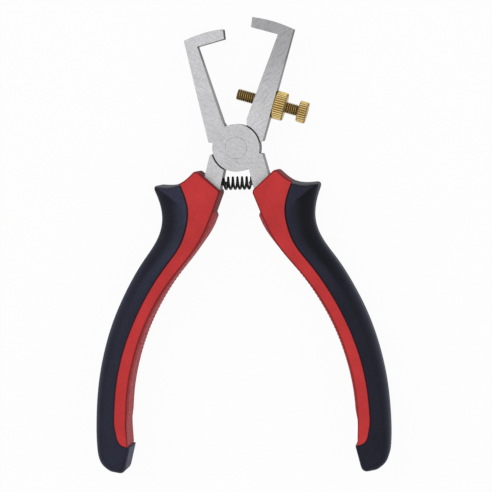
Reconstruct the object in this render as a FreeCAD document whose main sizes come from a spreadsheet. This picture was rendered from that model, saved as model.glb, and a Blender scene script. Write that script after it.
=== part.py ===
import FreeCAD, Part
import Sketcher
import math
import os

# Wire stripping pliers in millimetres. X is across the tool, Y runs from the handles to the jaws and Z is up.
# The pliers lie flat. The origin is on the pivot axis, at the flat back face of the joint.
# Each lever and its grip are drawn with the tool closed, then turned about the pivot by half of the opening.

DIMENSIONS = [
    ("half_opening", 10.0, "turn of each lever from closed to the spring-open rest position, degrees"),
    ("plate_thickness", 8.0, "joint, arm roots and tangs"),
    ("disc_radius", 8.0, "half-thickness disc of each lever at the lap joint"),
    ("lap_clearance", 0.2, "shoulders round the other lever's disc"),
    ("lap_gap", 0.06, "between the two half-thickness discs"),
    ("rivet_radius", 2.6, "shank of the pivot rivet"),
    ("rivet_head_radius", 3.7, "countersunk heads, ground flush"),
    ("rivet_head_depth", 1.1, "countersunk heads"),
    ("rivet_clearance", 0.05, "running fit of the front lever on the rivet"),
    ("arm_root_height", 3.65, "lower outer corner of both arms"),
    ("foot_height", 7.6, "inner edges of both arms on the disc"),
    ("front_arm_root", 8.75, "lower outer corner of the left arm, from the centre line"),
    ("front_outer_lean", 2.6, "outer edge of the left arm, degrees"),
    ("front_foot", 2.1, "inner edge of the left arm on the disc"),
    ("front_inner_root", 2.75, "inner edge of the left arm just above the disc"),
    ("front_inner_rise", 1.7, "that point above the foot"),
    ("front_inner_lean", 7.5, "inner edge of the left arm, degrees"),
    ("front_tip_inner", 36.75, "underside of the left blade tip, from the pivot"),
    ("front_blade", 3.35, "height of the left blade tip; its top edge is an arc about the pivot"),
    ("front_elbow_drop", 0.85, "inside of the left elbow below the underside of the blade tip"),
    ("front_tip_angle", 4.9, "end face of the left blade tip past the centre line, degrees"),
    ("rear_arm_root", 8.6, "lower outer corner of the right arm, from the centre line"),
    ("rear_outer_lean", 6.8, "outer edge of the right arm, degrees"),
    ("rear_foot", 2.6, "inner edge of the right arm on the disc"),
    ("rear_inner_root", 2.1, "inner edge of the right arm at its lower end"),
    ("rear_inner_rise", 2.5, "that point above the foot"),
    ("rear_inner_lean", 11.6, "inner edge of the right arm, degrees"),
    ("blade_gap", 0.7, "right blade tip above the left one, so that they pass each other"),
    ("rear_blade", 3.4, "height of the right blade tip; its top edge is an arc about the pivot"),
    ("rear_elbow_drop", 1.05, "inside of the right elbow below the underside of the blade tip"),
    ("rear_tip_angle", 1.6, "end face of the right blade tip past the centre line, degrees"),
    ("tip_thickness", 5.6, "arms at the height of the blade tips"),
    ("taper_start", 12.0, "height where the arms begin to thin"),
    ("notch_depth", 2.3, "right-angled wire notch in each end face"),
    ("tang_top_outer", 8.4, "upper outer corner of the tang, from the centre line"),
    ("tang_top_height", 3.7, "below the pivot"),
    ("tang_neck_outer", 9.1, "outer edge of the tang where it enters the grip"),
    ("tang_neck_drop", 2.1, "that corner below the grip's shoulder"),
    ("tang_inner_top", 7.5, "its inner edge begins this far below the pivot"),
    ("tang_inner", 2.9, "inner edge of the tang below the joint"),
    ("tang_inner_low", 3.3, "inner edge of the tang where it enters the grip"),
    ("tang_inner_rise", 0.5, "that corner above the grip's throat"),
    ("tang_step_drop", 2.0, "the tang is thinner from this far below the grip's throat"),
    ("tang_wall", 2.6, "from the grip's inner edge to the tang"),
    ("tang_width", 5.6, "inside the grip"),
    ("tang_thickness", 5.0, "inside the grip"),
    ("socket_clearance", 0.05, "between tang and grip"),
    ("spring_rise", 2.4, "disc to the top of the coil, with the tool closed"),
    ("spring_outer_radius", 2.2, "coil"),
    ("spring_seat_gap", 0.1, "end coils to the upper edges of the tangs at rest"),
    ("wire_radius", 0.38, "spring wire"),
    ("spring_turns", 5.5, "coils"),
    ("peg_radius", 0.8, "spring pegs"),
    ("peg_stand", 1.5, "peg outside the tang"),
    ("peg_depth", 2.0, "peg inside the tang"),
    ("screw_height", 17.5, "distance of the screw's axis from the pivot"),
    ("thread_radius", 1.97, "crests of the adjusting screw"),
    ("thread_pitch", 0.7, "adjusting screw"),
    ("thread_depth", 0.36, "adjusting screw"),
    ("screw_tip", 12.8, "screw tip inside the right arm's outer edge"),
    ("head_gap", 4.47, "lock nut to the screw's head"),
    ("neck_length", 1.1, "plain neck under the head"),
    ("neck_radius", 1.62, "plain neck under the head"),
    ("head_radius", 3.65, "screw head"),
    ("head_length", 3.1, "screw head"),
    ("thread_clearance", 0.05, "bore of the arm and of the nut over the thread"),
    ("nut_radius", 4.8, "lock nut"),
    ("nut_length", 4.0, "lock nut"),
    ("nut_seat_gap", 0.03, "lock nut to the arm"),
    ("rim_chamfer", 0.45, "both rims of the nut and of the screw head"),
    ("grip_thickness", 15.5, "both grips, centred on the plate"),
    ("throat_gap", 0.7, "coil to the grip's throat, with the tool closed"),
    ("throat_reach", 2.7, "inner corner of the grip core, from the centre line"),
    ("shoulder_reach", 12.1, "upper corner of the grip core"),
    ("shoulder_rise", 5.6, "above the throat"),
    ("horn_reach", 25.6, "outer tip of the thumb horn"),
    ("horn_drop", 1.9, "below the throat"),
    ("seam_top_reach", 16.7, "seam between core and cover at the upper edge"),
    ("seam_top_rise", 2.2, "above the horn"),
    ("seam_gap", 0.04, "between core and cover"),
    ("heel_step", 8.5, "upper end of the rounded corner of the grip's end, below the tail station"),
    ("heel_width", 2.8, "heel outside the middle of the rounded corner"),
    ("round_step", 5.9, "middle of the rounded corner, below the heel"),
    ("round_width", 3.2, "middle of the rounded corner outside the flat end face"),
    ("end_step", 1.8, "end of the grip below the middle of the rounded corner"),
    ("end_width", 5.0, "flat end face"),
    ("end_cant", 0.5, "inner corner of the end face outside the lip"),
    ("end_wrap", 9.3, "the cover's own end, below the core"),
    ("seam_cant", 2.6, "the core's outer corner at its end, inside the seam's last station"),
    ("lip_shift", 2.2, "small lip of the cover, inside the tail's inner edge"),
    ("lip_stand", 0.7, "the lip stands out from the core by this"),
    ("cover_round", 3.6, "rounding of the cover's outer edges"),
    ("round_share", 0.6, "most of the cover's least width that the rounding takes"),
]

# Grip outline below the horn. For each station: its step below the one above, the seam's distance from the
# centre line, and the widths of the core inside the seam and of the cover outside it.
GRIP_STATIONS = [
    ("upper", 6.1, 12.45, 8.1, 9.95),
    ("thumb", 5.5, 12.2, 6.5, 9.0),
    ("index", 6.0, 13.3, 5.4, 8.8),
    ("middle", 8.0, 17.2, 4.95, 8.5),
    ("ring", 10.0, 21.75, 4.35, 7.85),
    ("palm", 11.0, 25.25, 4.1, 7.35),
    ("little", 12.0, 27.45, 4.2, 6.8),
    ("rump", 12.0, 27.8, 4.2, 6.6),
    ("tail", 11.0, 26.7, 4.3, 6.6),
]
TANG_STATIONS = ["thumb", "middle", "ring"]

doc = FreeCAD.newDocument("WireStrippingPliers")
sheet = doc.addObject("Spreadsheet::Sheet", "Sizes")
size = {}


def set_size(row, alias, value, meaning):
    sheet.set("A%d" % row, alias)
    sheet.set("B%d" % row, str(value))
    sheet.set("C%d" % row, meaning)
    sheet.setAlias("B%d" % row, alias)
    size[alias] = value


for row, (alias, value, meaning) in enumerate(DIMENSIONS, 1):
    set_size(row, alias, value, meaning)
for station, (name, step, seam, core, cover) in enumerate(GRIP_STATIONS):
    row = len(DIMENSIONS) + 1 + 4 * station
    set_size(row, name + "_step", step, "grip station below the one above")
    set_size(row + 1, name + "_seam", seam, "seam between core and cover there")
    set_size(row + 2, name + "_core", core, "width of the core there")
    set_size(row + 3, name + "_cover", cover, "width of the cover there")
doc.recompute()

# Heights below the pivot and reaches from the centre line that are sums of sizes. A minus takes a size away.

HEIGHT = {}
HEIGHT["peg"] = ["disc_radius", "spring_rise", "spring_outer_radius"]
HEIGHT["throat"] = HEIGHT["peg"] + ["spring_outer_radius", "throat_gap"]
HEIGHT["shoulder"] = HEIGHT["throat"] + ["-shoulder_rise"]
HEIGHT["horn"] = HEIGHT["throat"] + ["horn_drop"]
HEIGHT["seam_top"] = HEIGHT["horn"] + ["-seam_top_rise"]
REACH = {}
above = "horn"
for name, *widths in GRIP_STATIONS:
    HEIGHT[name] = HEIGHT[above] + [name + "_step"]
    REACH[name + "_seam"] = [name + "_seam"]
    REACH[name + "_inner"] = [name + "_seam", "-" + name + "_core"]
    REACH[name + "_outer"] = [name + "_seam", name + "_cover"]
    above = name
HEIGHT["heel"] = HEIGHT["tail"] + ["heel_step"]
HEIGHT["round"] = HEIGHT["heel"] + ["round_step"]
HEIGHT["end"] = HEIGHT["round"] + ["end_step"]
HEIGHT["seam_end"] = HEIGHT["end"] + ["-end_wrap"]
HEIGHT["tang_top"] = ["tang_top_height"]
HEIGHT["tang_neck"] = HEIGHT["shoulder"] + ["tang_neck_drop"]
HEIGHT["tang_inner_top"] = ["tang_inner_top"]
HEIGHT["tang_inner_low"] = HEIGHT["throat"] + ["-tang_inner_rise"]
HEIGHT["tang_step"] = HEIGHT["throat"] + ["tang_step_drop"]
for name in ("throat", "shoulder", "horn", "seam_top"):
    REACH[name] = [name + "_reach"]
for name in ("tang_top_outer", "tang_neck_outer", "tang_inner", "tang_inner_low"):
    REACH[name] = [name]
for name in TANG_STATIONS:
    REACH["tang_" + name + "_inner"] = REACH[name + "_inner"] + ["tang_wall"]
    REACH["tang_" + name + "_outer"] = REACH["tang_" + name + "_inner"] + ["tang_width"]
REACH["seam_low"] = ["tail_seam", "-seam_cant"]
REACH["lip"] = REACH["tail_inner"] + ["-lip_shift"]
REACH["core_corner"] = REACH["lip"] + ["lip_stand"]
REACH["end_inner"] = REACH["lip"] + ["end_cant"]
REACH["end_outer"] = REACH["end_inner"] + ["end_width"]
REACH["round"] = REACH["end_outer"] + ["round_width"]
REACH["heel"] = REACH["round"] + ["heel_width"]
TIP_INNER = {"front": ["front_tip_inner"]}
TIP_INNER["rear"] = TIP_INNER["front"] + ["front_blade", "blade_gap"]
SHANK = ["screw_tip", "nut_seat_gap", "nut_length", "head_gap"]


def total(names):
    """Expression for a sum of sizes."""
    signed = [" - Sizes." + name[1:] if name.startswith("-") else " + Sizes." + name for name in names]
    return "(0" + "".join(signed) + ")"


def amount(names):
    """Value of the same sum."""
    return sum(-size[name[1:]] if name.startswith("-") else size[name] for name in names)


OUT = "parts"
FRONT = 1.0
REAR = -1.0
TOUCH = 0.01  # an edge this near a face's level lies on it
subparts = []


# Helpers for bodies, sketches and features

def new_body(label):
    body = doc.addObject("PartDesign::Body", label)
    body.Label = label
    subparts.append(body)
    return body


def sketch_on(body, role, name):
    plane = [item for item in body.Origin.OriginFeatures if item.Role == role][0]
    sketch = body.newObject("Sketcher::SketchObject", name)
    sketch.AttachmentSupport = (plane, [""])
    sketch.MapMode = "FlatFace"
    return sketch


def polygon(sketch, corners):
    """Closed outline; each corner is a pair of expressions for its place from the sketch's origin.

    It starts as corners on a circle, which the expressions then move to their places.
    """
    count = len(corners)
    first = sketch.GeometryCount
    ring = []
    for number in range(count):
        turn = 2 * math.pi * number / count
        ring.append(FreeCAD.Vector(math.cos(turn), math.sin(turn), 0) * size["horn_reach"])
    for number in range(count):
        sketch.addGeometry(Part.LineSegment(ring[number], ring[(number + 1) % count]), False)
    for number in range(count):
        following = first + (number + 1) % count
        sketch.addConstraint(Sketcher.Constraint("Coincident", first + number, 2, following, 1))
    for number, (across, along) in enumerate(corners):
        start = ring[number]
        place = sketch.addConstraint(Sketcher.Constraint("DistanceX", first + number, 1, start.x))
        sketch.setExpression("Constraints[%d]" % place, across)
        place = sketch.addConstraint(Sketcher.Constraint("DistanceY", first + number, 1, start.y))
        sketch.setExpression("Constraints[%d]" % place, along)


def circle(sketch, radius):
    curve = Part.Circle(FreeCAD.Vector(0, 0, 0), FreeCAD.Vector(0, 0, 1), size["horn_reach"])
    number = sketch.addGeometry(curve, False)
    sketch.addConstraint(Sketcher.Constraint("Coincident", number, 3, -1, 1))
    place = sketch.addConstraint(Sketcher.Constraint("Radius", number, size["horn_reach"]))
    sketch.setExpression("Constraints[%d]" % place, radius)


def pad(body, sketch, length):
    feature = body.newObject("PartDesign::Pad", sketch.Name + "_pad")
    feature.Profile = sketch
    feature.setExpression("Length", length)
    return feature


def cut_through(body, sketch):
    feature = body.newObject("PartDesign::Pocket", sketch.Name + "_cut")
    feature.Profile = sketch
    feature.Type = "ThroughAll"
    feature.Midplane = True
    return feature


def revolve(body, sketch, kind="PartDesign::Revolution"):
    feature = body.newObject(kind, sketch.Name + "_turned")
    feature.Profile = sketch
    feature.ReferenceAxis = (sketch, ["V_Axis"])
    feature.Angle = 360.0
    return feature


def cut_cylinder(body, name, place, radius, height):
    feature = body.newObject("PartDesign::SubtractiveCylinder", name)
    feature.Placement = place
    feature.setExpression("Radius", radius)
    feature.setExpression("Height", height)
    return feature


def turned(side):
    """Placement that turns a lever drawn closed to its rest position."""
    turn = FreeCAD.Rotation(FreeCAD.Vector(0, 0, 1), side * size["half_opening"])
    return FreeCAD.Placement(FreeCAD.Vector(0, 0, 0), turn)


def aimed(point, direction):
    """Placement that puts the local origin on a point with local Z along a direction."""
    return FreeCAD.Placement(point, FreeCAD.Rotation(FreeCAD.Vector(0, 0, 1), direction))


# Places shared by several pieces, with the tool closed

mid_plane = size["plate_thickness"] / 2


def tang_lean():
    return math.atan2(size["tang_inner_low"] - size["tang_inner"],
                      amount(HEIGHT["tang_inner_low"]) - size["tang_inner_top"])


def peg_seat(side):
    """Middle of the spring peg's hole on the tang's inner face, and the direction out of the hole."""
    height = amount(HEIGHT["peg"])
    reach = size["tang_inner"] + (height - size["tang_inner_top"]) * math.tan(tang_lean())
    point = FreeCAD.Vector(side * reach, -height, mid_plane)
    return point, FreeCAD.Vector(-side * math.cos(tang_lean()), -math.sin(tang_lean()), 0)


def screw_seat():
    """Point of the screw's axis on the right arm's outer edge, and the direction from there to the head."""
    lean = math.radians(size["rear_outer_lean"])
    outward = FreeCAD.Vector(math.cos(lean), -math.sin(lean), 0)
    upward = FreeCAD.Vector(math.sin(lean), math.cos(lean), 0)
    root = FreeCAD.Vector(size["rear_arm_root"], size["arm_root_height"], 0)
    middle = FreeCAD.Vector(0, 0, mid_plane)
    return upward * size["screw_height"] + outward * root.dot(outward) + middle, outward


# Levers

def arm_outline(end, arm):
    """Corners of one arm with its bent blade tip, one blade height past the arc that trims its top edge."""
    own = "Sizes." + end + "_"
    side = "%g" % arm
    bottom = total(TIP_INNER[end])
    top = total(TIP_INNER[end] + [end + "_blade", end + "_blade"])
    outer_run = "(" + top + " - Sizes.arm_root_height) * tan(" + own + "outer_lean)"
    elbow = total(TIP_INNER[end] + ["-" + end + "_elbow_drop"])
    root = total(["foot_height", end + "_inner_rise"])
    inner_run = "(" + elbow + " - " + root + ") * tan(" + own + "inner_lean)"
    angle = "(" + own + "tip_angle)"
    return [
        ("0", "0"),
        (side + " * " + own + "arm_root", "Sizes.arm_root_height"),
        (side + " * (" + own + "arm_root + " + outer_run + ")", top),
        ("-" + side + " * " + top + " * sin" + angle, top + " * cos" + angle),
        ("-" + side + " * " + bottom + " * sin" + angle, bottom + " * cos" + angle),
        (side + " * (" + own + "inner_root + " + inner_run + ")", elbow),
        (side + " * " + own + "inner_root", root),
        (side + " * " + own + "foot", "Sizes.foot_height"),
    ]


def tang_corners():
    """Names of the tang's corners, as reach and height, from its inner top round to its outer top."""
    corners = [("tang_inner", "tang_inner_top"), ("tang_inner_low", "tang_inner_low")]
    corners += [("tang_" + name + "_inner", name) for name in TANG_STATIONS]
    corners += [("tang_" + name + "_outer", name) for name in reversed(TANG_STATIONS)]
    corners += [("tang_neck_outer", "tang_neck"), ("tang_top_outer", "tang_top")]
    return corners


def tang_outline(side):
    corners = [("0", "0")]
    for reach, height in tang_corners():
        corners.append(("%g * " % side + total(REACH[reach]), "-" + total(HEIGHT[height])))
    return corners


def thinning(sketch, end):
    """Wedges above and below the arm, and steps above and below the hidden part of the tang."""
    top = total(TIP_INNER[end] + [end + "_blade"])
    past = total(TIP_INNER[end] + [end + "_blade", end + "_blade"])
    low = total(HEIGHT["tang_step"])
    lowest = total(HEIGHT[TANG_STATIONS[-1]] + ["tang_width"])
    rise = "(" + past + " - Sizes.taper_start) / (" + top + " - Sizes.taper_start)"
    for face, sign in (("Sizes.plate_thickness", "1"), ("0", "-1")):
        slope = " * (Sizes.plate_thickness - Sizes.tip_thickness) / 2 * "
        clear = face + " + " + sign + " * Sizes.plate_thickness"
        polygon(sketch, [
            ("Sizes.taper_start", face),
            (past, face + " - " + sign + slope + rise),
            (past, clear),
            ("Sizes.taper_start", clear),
        ])
        step = face + " - " + sign + " * (Sizes.plate_thickness - Sizes.tang_thickness) / 2"
        polygon(sketch, [
            ("-" + low, step),
            ("-" + lowest, step),
            ("-" + lowest, clear),
            ("-" + low, clear),
        ])


def notch(body, end, arm):
    """Right-angled groove across the middle of the end face; the wire lies in it along the tool."""
    angle = math.radians(size[end + "_tip_angle"])
    blade = size[end + "_blade"]
    bottom = amount(TIP_INNER[end])
    apex = -arm * ((bottom + blade / 2) * math.sin(angle) - size["notch_depth"])
    groove = body.newObject("PartDesign::SubtractiveBox", end + "_notch")
    groove.setExpression("Length", "2 * Sizes.notch_depth")
    groove.setExpression("Height", "2 * Sizes.notch_depth")
    groove.setExpression("Width", "3 * Sizes." + end + "_blade")
    diagonal = FreeCAD.Rotation(FreeCAD.Vector(0, 1, 0), 45 if arm < 0 else 225)
    groove.Placement = FreeCAD.Placement(FreeCAD.Vector(apex, bottom - blade, mid_plane), diagonal)
    return groove


def lever(label, end, side):
    """One lever. The side of its tang is 1 for the right; its arm is on the other side."""
    arm = -side
    body = new_body(label)
    outline = sketch_on(body, "XY_Plane", end + "_arm")
    polygon(outline, arm_outline(end, arm))
    pad(body, outline, "Sizes.plate_thickness")
    trim = sketch_on(body, "XY_Plane", end + "_tip_arc")
    top = total(TIP_INNER[end] + [end + "_blade"])
    circle(trim, top)
    circle(trim, "2 * " + top)
    cut_through(body, trim)
    disc = body.newObject("PartDesign::AdditiveCylinder", end + "_disc")
    disc.setExpression("Radius", "Sizes.disc_radius")
    disc.setExpression("Height", "Sizes.plate_thickness")
    tang = sketch_on(body, "XY_Plane", end + "_tang")
    polygon(tang, tang_outline(side))
    pad(body, tang, "Sizes.plate_thickness")
    profile = sketch_on(body, "YZ_Plane", end + "_thinning")
    thinning(profile, end)
    cut_through(body, profile)
    lap = body.newObject("PartDesign::SubtractiveCylinder", end + "_lap")
    lap.setExpression("Radius", "Sizes.disc_radius + Sizes.lap_clearance")
    lap.setExpression("Height", "(Sizes.plate_thickness + Sizes.lap_gap) / 2")
    if end == "rear":
        lap.setExpression("Placement.Base.z", "(Sizes.plate_thickness - Sizes.lap_gap) / 2")
    rivet_hole(body, end)
    notch(body, end, arm)
    point, inward = peg_seat(side)
    cut_cylinder(body, end + "_peg_hole", aimed(point - inward * size["peg_depth"], inward),
                 "Sizes.peg_radius", "Sizes.peg_depth + Sizes.peg_radius")
    if end == "rear":
        point, outward = screw_seat()
        cut_cylinder(body, "screw_hole", aimed(point - outward * size["screw_tip"], outward),
                     "Sizes.thread_radius + Sizes.thread_clearance", "Sizes.screw_tip + Sizes.nut_length")
    body.Placement = turned(side)
    return body


def rivet_hole(body, end):
    """Countersunk hole, sunk at the back in the rear lever and, with clearance, at the front in the other."""
    play = " + Sizes.rivet_clearance" if end == "front" else ""
    cut_cylinder(body, end + "_rivet_hole", FreeCAD.Placement(), "Sizes.rivet_radius" + play,
                 "Sizes.plate_thickness")
    sink = body.newObject("PartDesign::SubtractiveCone", end + "_countersink")
    sink.setExpression("Height", "Sizes.rivet_head_depth")
    if end == "front":
        sink.setExpression("Radius1", "Sizes.rivet_radius" + play)
        sink.setExpression("Radius2", "Sizes.rivet_head_radius" + play)
        sink.setExpression("Placement.Base.z", "Sizes.plate_thickness - Sizes.rivet_head_depth")
    else:
        sink.setExpression("Radius1", "Sizes.rivet_head_radius")
        sink.setExpression("Radius2", "Sizes.rivet_radius")
    return sink


def pivot_rivet():
    body = new_body("pivot_rivet")
    profile = sketch_on(body, "XZ_Plane", "rivet_profile")
    polygon(profile, [
        ("0", "0"),
        ("Sizes.rivet_head_radius", "0"),
        ("Sizes.rivet_radius", "Sizes.rivet_head_depth"),
        ("Sizes.rivet_radius", "Sizes.plate_thickness - Sizes.rivet_head_depth"),
        ("Sizes.rivet_head_radius", "Sizes.plate_thickness"),
        ("0", "Sizes.plate_thickness"),
    ])
    revolve(body, profile)


# Spring and its pegs

def spring_peg(label, side):
    body = new_body(label)
    profile = sketch_on(body, "XZ_Plane", label + "_profile")
    polygon(profile, [
        ("0", "-Sizes.peg_depth"),
        ("Sizes.peg_radius", "-Sizes.peg_depth"),
        ("Sizes.peg_radius", "Sizes.peg_stand - Sizes.peg_radius / 3"),
        ("Sizes.peg_radius * 2 / 3", "Sizes.peg_stand"),
        ("0", "Sizes.peg_stand"),
    ])
    revolve(body, profile)
    point, inward = peg_seat(side)
    body.Placement = turned(side).multiply(aimed(point, inward))


def opening_spring():
    """Coil across the tool between the two tangs, on the pegs, at the rest position."""
    seat = turned(FRONT).multVec(peg_seat(FRONT)[0])
    lean = tang_lean() + math.radians(size["half_opening"])
    half = seat.x - size["spring_outer_radius"] * math.tan(lean) - size["spring_seat_gap"]
    travel = 2 * (half - size["wire_radius"])
    middle_radius = size["spring_outer_radius"] - size["wire_radius"]
    helix = Part.makeHelix(travel / size["spring_turns"], travel, middle_radius)
    start = FreeCAD.Vector(middle_radius, 0, 0)
    section = Part.Wire(Part.makeCircle(size["wire_radius"], start, FreeCAD.Vector(0, 1, 0)))
    coil = Part.Wire(helix.Edges).makePipeShell([section], True, True)
    spring = doc.addObject("Part::Feature", "opening_spring")
    spring.Label = "opening_spring"
    spring.Shape = coil
    across = FreeCAD.Rotation(FreeCAD.Vector(0, 0, 1), FreeCAD.Vector(1, 0, 0))
    spring.Placement = FreeCAD.Placement(FreeCAD.Vector(-travel / 2, seat.y, mid_plane), across)
    subparts.append(spring)


# Adjusting screw and lock nut

def adjusting_screw():
    body = new_body("adjusting_screw")
    profile = sketch_on(body, "XZ_Plane", "screw_profile")
    shank = total(SHANK)
    thread_end = total(SHANK + ["-neck_length"])
    top = total(SHANK + ["head_length"])
    polygon(profile, [
        ("0", "0"),
        ("Sizes.thread_radius - Sizes.thread_depth", "0"),
        ("Sizes.thread_radius", "Sizes.thread_depth"),
        ("Sizes.thread_radius", thread_end),
        ("Sizes.neck_radius", thread_end),
        ("Sizes.neck_radius", shank),
        ("Sizes.head_radius - Sizes.rim_chamfer", shank),
        ("Sizes.head_radius", shank + " + Sizes.rim_chamfer"),
        ("Sizes.head_radius", top + " - Sizes.rim_chamfer"),
        ("Sizes.head_radius - Sizes.rim_chamfer", top),
        ("0", top),
    ])
    revolve(body, profile)
    furrow = sketch_on(body, "XZ_Plane", "thread_profile")
    crest = "Sizes.thread_radius + Sizes.thread_depth / 4"
    polygon(furrow, [
        ("Sizes.thread_radius - Sizes.thread_depth", "1.5 * Sizes.thread_pitch"),
        (crest, "(1.5 - 0.56) * Sizes.thread_pitch"),
        (crest, "(1.5 + 0.56) * Sizes.thread_pitch"),
    ])
    groove = revolve(body, furrow, "PartDesign::Groove")
    turns = int((amount(SHANK) - size["neck_length"]) / size["thread_pitch"] - 2)
    rows = body.newObject("PartDesign::LinearPattern", "thread_rows")
    rows.Originals = [groove]
    rows.Direction = (furrow, ["V_Axis"])
    rows.setExpression("Length", "%d * Sizes.thread_pitch" % (turns - 1))
    rows.Occurrences = turns
    body.Tip = rows
    point, outward = screw_seat()
    body.Placement = turned(REAR).multiply(aimed(point - outward * size["screw_tip"], outward))


def lock_nut():
    body = new_body("lock_nut")
    profile = sketch_on(body, "XZ_Plane", "nut_profile")
    polygon(profile, [
        ("Sizes.thread_radius + Sizes.thread_clearance", "0"),
        ("Sizes.nut_radius - Sizes.rim_chamfer", "0"),
        ("Sizes.nut_radius", "Sizes.rim_chamfer"),
        ("Sizes.nut_radius", "Sizes.nut_length - Sizes.rim_chamfer"),
        ("Sizes.nut_radius - Sizes.rim_chamfer", "Sizes.nut_length"),
        ("Sizes.thread_radius + Sizes.thread_clearance", "Sizes.nut_length"),
    ])
    revolve(body, profile)
    point, outward = screw_seat()
    body.Placement = turned(REAR).multiply(aimed(point + outward * size["nut_seat_gap"], outward))


# Grips

def place(side, reach, height):
    """Point with a reach from the centre line and a height below the pivot."""
    return FreeCAD.Vector(side * amount(REACH[reach]), -amount(HEIGHT[height]), 0)


def station_points(edge, side):
    return [place(side, name + "_" + edge, name) for name, *widths in GRIP_STATIONS]


def curve_through(points):
    curve = Part.BSplineCurve()
    curve.interpolate(points)
    return curve.toShape()


def chain(points):
    return [Part.makeLine(start, end) for start, end in zip(points, points[1:])]


def slab(edges, low, high):
    face = Part.Face(Part.Wire(Part.__sortEdges__(edges)))
    face.translate(FreeCAD.Vector(0, 0, low))
    return face.extrude(FreeCAD.Vector(0, 0, high - low))


def grip_outline(side):
    throat = place(side, "throat", "throat")
    crest = place(side, "shoulder", "shoulder")
    horn = place(side, "horn", "horn")
    inner = station_points("inner", side)
    outer = [horn] + station_points("outer", side)
    outer += [place(side, "heel", "heel"), place(side, "round", "round"), place(side, "end_outer", "end")]
    lower = [outer[-1], place(side, "end_inner", "end"), place(side, "lip", "seam_end")]
    lower += [place(side, "core_corner", "seam_end"), inner[-1]]
    curves = [curve_through([crest, place(side, "seam_top", "seam_top"), horn]), curve_through(outer)]
    return chain([inner[0], throat, crest]) + curves + chain(lower) + [curve_through(inner)]


def core_region(side, gap):
    """Outline of everything on the core's side of the seam, wider by a gap."""
    shift = FreeCAD.Vector(side * gap, 0, 0)
    top = place(side, "seam_top", "seam_top") + shift
    seam = [top] + [point + shift for point in station_points("seam", side)]
    low = place(side, "seam_low", "seam_end") + shift - FreeCAD.Vector(0, gap, 0)
    past_centre = -side * size["throat_reach"]
    corners = [seam[-1], low, FreeCAD.Vector(past_centre, low.y, 0), FreeCAD.Vector(past_centre, 0, 0)]
    corners += [FreeCAD.Vector(top.x, 0, 0), top]
    return [curve_through(seam)] + chain(corners)


def grip(name, side):
    """Red core and dark cover of one grip, split along the seam, with a socket for the tang."""
    low = mid_plane - size["grip_thickness"] / 2
    high = mid_plane + size["grip_thickness"] / 2
    whole = slab(grip_outline(side), low, high)
    socket = tang_socket(side)
    core = whole.common(slab(core_region(side, 0), low, high)).cut(socket)
    cover = whole.cut(slab(core_region(side, size["seam_gap"]), low, high)).cut(socket)
    cover = cover.makeFillet(cover_rounding(), [outer_edge(cover, low), outer_edge(cover, high)])
    for label, shape in ((name + "_grip_core", core), (name + "_grip_cover", cover)):
        feature = doc.addObject("Part::Feature", label)
        feature.Label = label
        feature.Shape = shape
        feature.Placement = turned(side)
        subparts.append(feature)


def cover_rounding():
    """Rounding of the cover's outer edges, limited by the cover's least width."""
    least = min(size[name + "_cover"] for name, *widths in GRIP_STATIONS)
    return min(size["cover_round"], size["round_share"] * least)


def outer_edge(cover, level):
    """The longest edge of the face at that level, which runs from the horn to the end."""
    boxes = [(edge, edge.BoundBox) for edge in cover.Edges]
    flat = [edge for edge, box in boxes if abs(box.ZMin - level) < TOUCH and abs(box.ZMax - level) < TOUCH]
    return max(flat, key=lambda edge: edge.Length)


def tang_socket(side):
    """The tang's outline, wider by the socket clearance, in its two thicknesses."""
    play = size["socket_clearance"]
    corners = [place(side, reach, height) for reach, height in tang_corners()]
    wide = Part.Face(Part.makePolygon(corners + [corners[0]])).makeOffset2D(play)
    half = size["tang_thickness"] / 2 + play
    thin = wide.copy()
    thin.translate(FreeCAD.Vector(0, 0, mid_plane - half))
    full = wide.copy()
    full.translate(FreeCAD.Vector(0, 0, -play))
    thickness = size["plate_thickness"] + 2 * play
    reach = size["horn_reach"]
    step = amount(HEIGHT["tang_step"]) + play
    mouth = Part.makeBox(2 * reach, step, thickness, FreeCAD.Vector(-reach, -step, -play))
    full = full.extrude(FreeCAD.Vector(0, 0, thickness)).common(mouth)
    return thin.extrude(FreeCAD.Vector(0, 0, 2 * half)).fuse(full)


lever("rear_lever", "rear", REAR)
lever("front_lever", "front", FRONT)
pivot_rivet()
opening_spring()
spring_peg("left_spring_peg", REAR)
spring_peg("right_spring_peg", FRONT)
adjusting_screw()
lock_nut()
grip("left", REAR)
grip("right", FRONT)
doc.recompute()


# Check every object, then write one file for each sub-part

for item in doc.Objects:
    if "Invalid" in item.State or "Error" in item.State:
        raise RuntimeError(item.Name + " did not build: " + str(item.State))
os.makedirs(OUT, exist_ok=True)
for item in subparts:
    if item.Shape.isNull() or not item.Shape.isValid():
        raise RuntimeError(item.Label + " has no valid shape")
for item in subparts:
    item.Shape.exportStep(OUT + "/" + item.Label + ".step")
    print(item.Label, len(item.Shape.Solids), round(item.Shape.Volume, 2), item.Shape.BoundBox)
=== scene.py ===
import math
import bmesh
import bpy
import numpy as np
from mathutils import Matrix, Vector


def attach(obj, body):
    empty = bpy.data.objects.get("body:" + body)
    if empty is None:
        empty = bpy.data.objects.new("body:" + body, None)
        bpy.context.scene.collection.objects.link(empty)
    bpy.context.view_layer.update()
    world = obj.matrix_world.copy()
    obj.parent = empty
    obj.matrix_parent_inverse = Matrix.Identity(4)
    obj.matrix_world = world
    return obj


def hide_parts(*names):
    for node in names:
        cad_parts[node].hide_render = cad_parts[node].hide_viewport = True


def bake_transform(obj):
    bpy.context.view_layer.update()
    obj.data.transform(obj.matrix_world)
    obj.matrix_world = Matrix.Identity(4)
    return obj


# Wire stripping pliers, dressed. Lengths in the tables are millimetres; meshes are in metres.
# Each grip is drawn with the tool closed, as a reach from the centre line and a height above the pivot,
# and is then turned about the pivot by half of the opening.

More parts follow.
